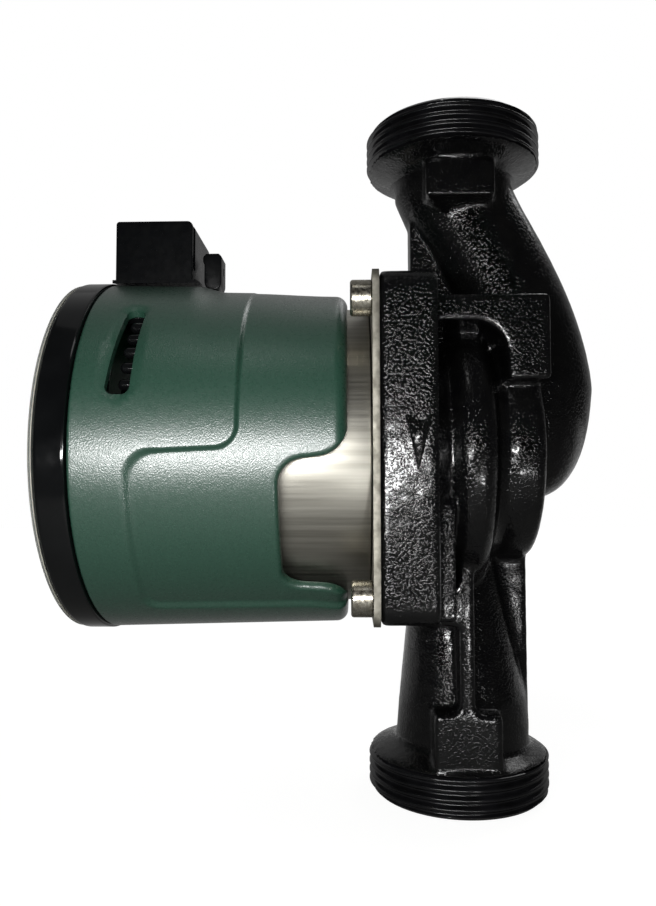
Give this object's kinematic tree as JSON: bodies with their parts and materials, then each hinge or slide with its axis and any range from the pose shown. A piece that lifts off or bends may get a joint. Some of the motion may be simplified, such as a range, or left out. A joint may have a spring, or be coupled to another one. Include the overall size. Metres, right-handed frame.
{
  "type": "circulator pump",
  "caption": "In-line circulator pump: black cast casing with threaded ports, steel motor can, green electronics head, front mode button and top power socket.",
  "frame": {"origin": "where the port axis crosses the motor axis, midway between the two port faces", "axes": "+Z along the port axis towards the inlet, -X along the motor axis towards the front panel, -Y towards the side with the flow arrow"},
  "size_m": [0.1389, 0.094, 0.18],
  "materials": {
    "painted_cast_iron": "gloss black paint on a rough casting",
    "brushed_steel": "brushed along the axis",
    "zinc_steel": "bright zinc plate",
    "stainless": "smooth pressed stainless steel",
    "green_plastic": "fine moulded grain",
    "gloss_black_plastic": "polished",
    "black_plastic": "satin",
    "clear_plastic": "clear moulding",
    "copper": "enamelled winding",
    "electrical_steel": "stacked laminations",
    "ceramic": "ground ceramic",
    "carbon": "carbon graphite",
    "rubber": "moulded seal",
    "circuit_board": "solder mask",
    "aluminium": "plain sheet",
    "composite": "glass filled moulding",
    "ferrite": "pressed ferrite",
    "pin_brass": "tinned"
  },
  "bodies": {
    "pump": {"pump_casing": "painted_cast_iron", "motor_can": "brushed_steel", "clamp_plate": "brushed_steel", "flange_screw_near_top": "zinc_steel", "flange_screw_far_top": "zinc_steel", "flange_screw_near_foot": "zinc_steel", "flange_screw_far_foot": "zinc_steel", "wear_ring": "stainless", "bearing_plate": "stainless", "rotor_can": "stainless", "electronics_housing": "green_plastic", "front_panel": "gloss_black_plastic", "connector_socket": "black_plastic", "vent_grille_near": "black_plastic", "vent_grille_far": "black_plastic", "board_capacitor": "black_plastic", "front_lens": "clear_plastic", "light_guide": "clear_plastic", "stator_coil_1": "copper", "stator_coil_2": "copper", "stator_coil_3": "copper", "stator_coil_4": "copper", "stator_coil_5": "copper", "stator_coil_6": "copper", "stator_core": "electrical_steel", "power_module": "ceramic", "rear_bush": "carbon", "front_bush": "carbon", "casing_seal_ring": "rubber", "control_board": "circuit_board", "display_board": "circuit_board", "heat_spreader": "aluminium", "board_choke": "ferrite", "connector_pin_1": "pin_brass", "connector_pin_2": "pin_brass", "connector_pin_3": "pin_brass"},
    "rotor": {"shaft": "ceramic", "rotor_core": "stainless", "thrust_washer": "ceramic", "impeller": "composite"},
    "button": {"mode_button": "black_plastic"},
    "latch": {"connector_latch": "black_plastic"}
  },
  "joints": [
    {"name": "rotor_spin", "type": "hinge", "parent": "pump", "child": "rotor", "pos_m": [0, 0, 0], "axis": [1, 0, 0], "continuous": true},
    {"name": "button_press", "type": "slide", "parent": "pump", "child": "button", "axis": [1, 0, 0], "range_m": [0, 0.0006], "stiffness_N_per_m": 800},
    {"name": "latch_flex", "type": "hinge", "parent": "pump", "child": "latch", "pos_m": [-0.067, 0, 0.04823], "axis": [0, 1, 0], "range_deg": [0, 10], "stiffness_Nm_per_rad": 0.3}
  ]
}
